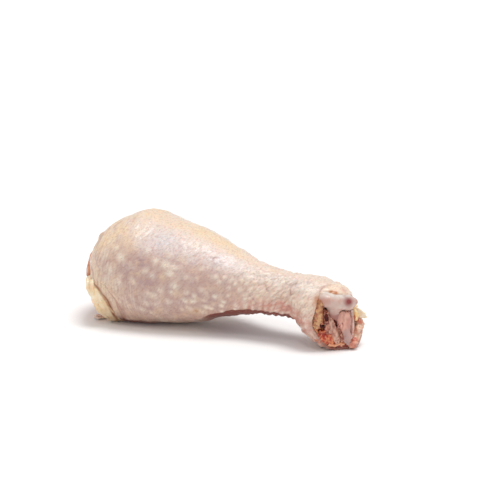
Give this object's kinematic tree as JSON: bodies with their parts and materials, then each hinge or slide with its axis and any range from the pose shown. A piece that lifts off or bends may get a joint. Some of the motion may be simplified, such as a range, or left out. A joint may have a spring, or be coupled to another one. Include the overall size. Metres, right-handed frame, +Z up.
{
  "type": "raw chicken drumstick",
  "caption": "Raw chicken drumstick lying on its side: plump end in pale dimpled skin with a lip of fat, slim shank, and an open hock end showing the white joint head, tendons and fat.",
  "frame": {"origin": "the middle of the part's box on the surface it lies on", "axes": "+X from the knee end to the hock end, +Z up, -Y towards the side that shows the lip of fat and the inside of the hock"},
  "size_m": [0.1262, 0.0536, 0.0461],
  "materials": {
    "skin": "satin",
    "flesh": "satin",
    "cartilage": "gloss",
    "lip_fat": "satin",
    "tendon": "gloss",
    "fat": "gloss",
    "red_tissue": "gloss",
    "membrane": "gloss",
    "skin_fold": "satin",
    "skin_tag": "satin",
    "scrap": "satin"
  },
  "bodies": {
    "root": {"skin": "skin", "meat": "flesh", "bone": "cartilage", "knee_lip": "lip_fat", "tendon_front": "tendon", "tendon_near": "tendon", "fat_near": "fat", "fat_low": "fat", "fat_far": "fat", "tissue_red": "red_tissue", "membrane": "membrane", "fold_far": "skin_fold", "tag": "skin_tag", "scrap": "scrap"}
  },
  "joints": []
}
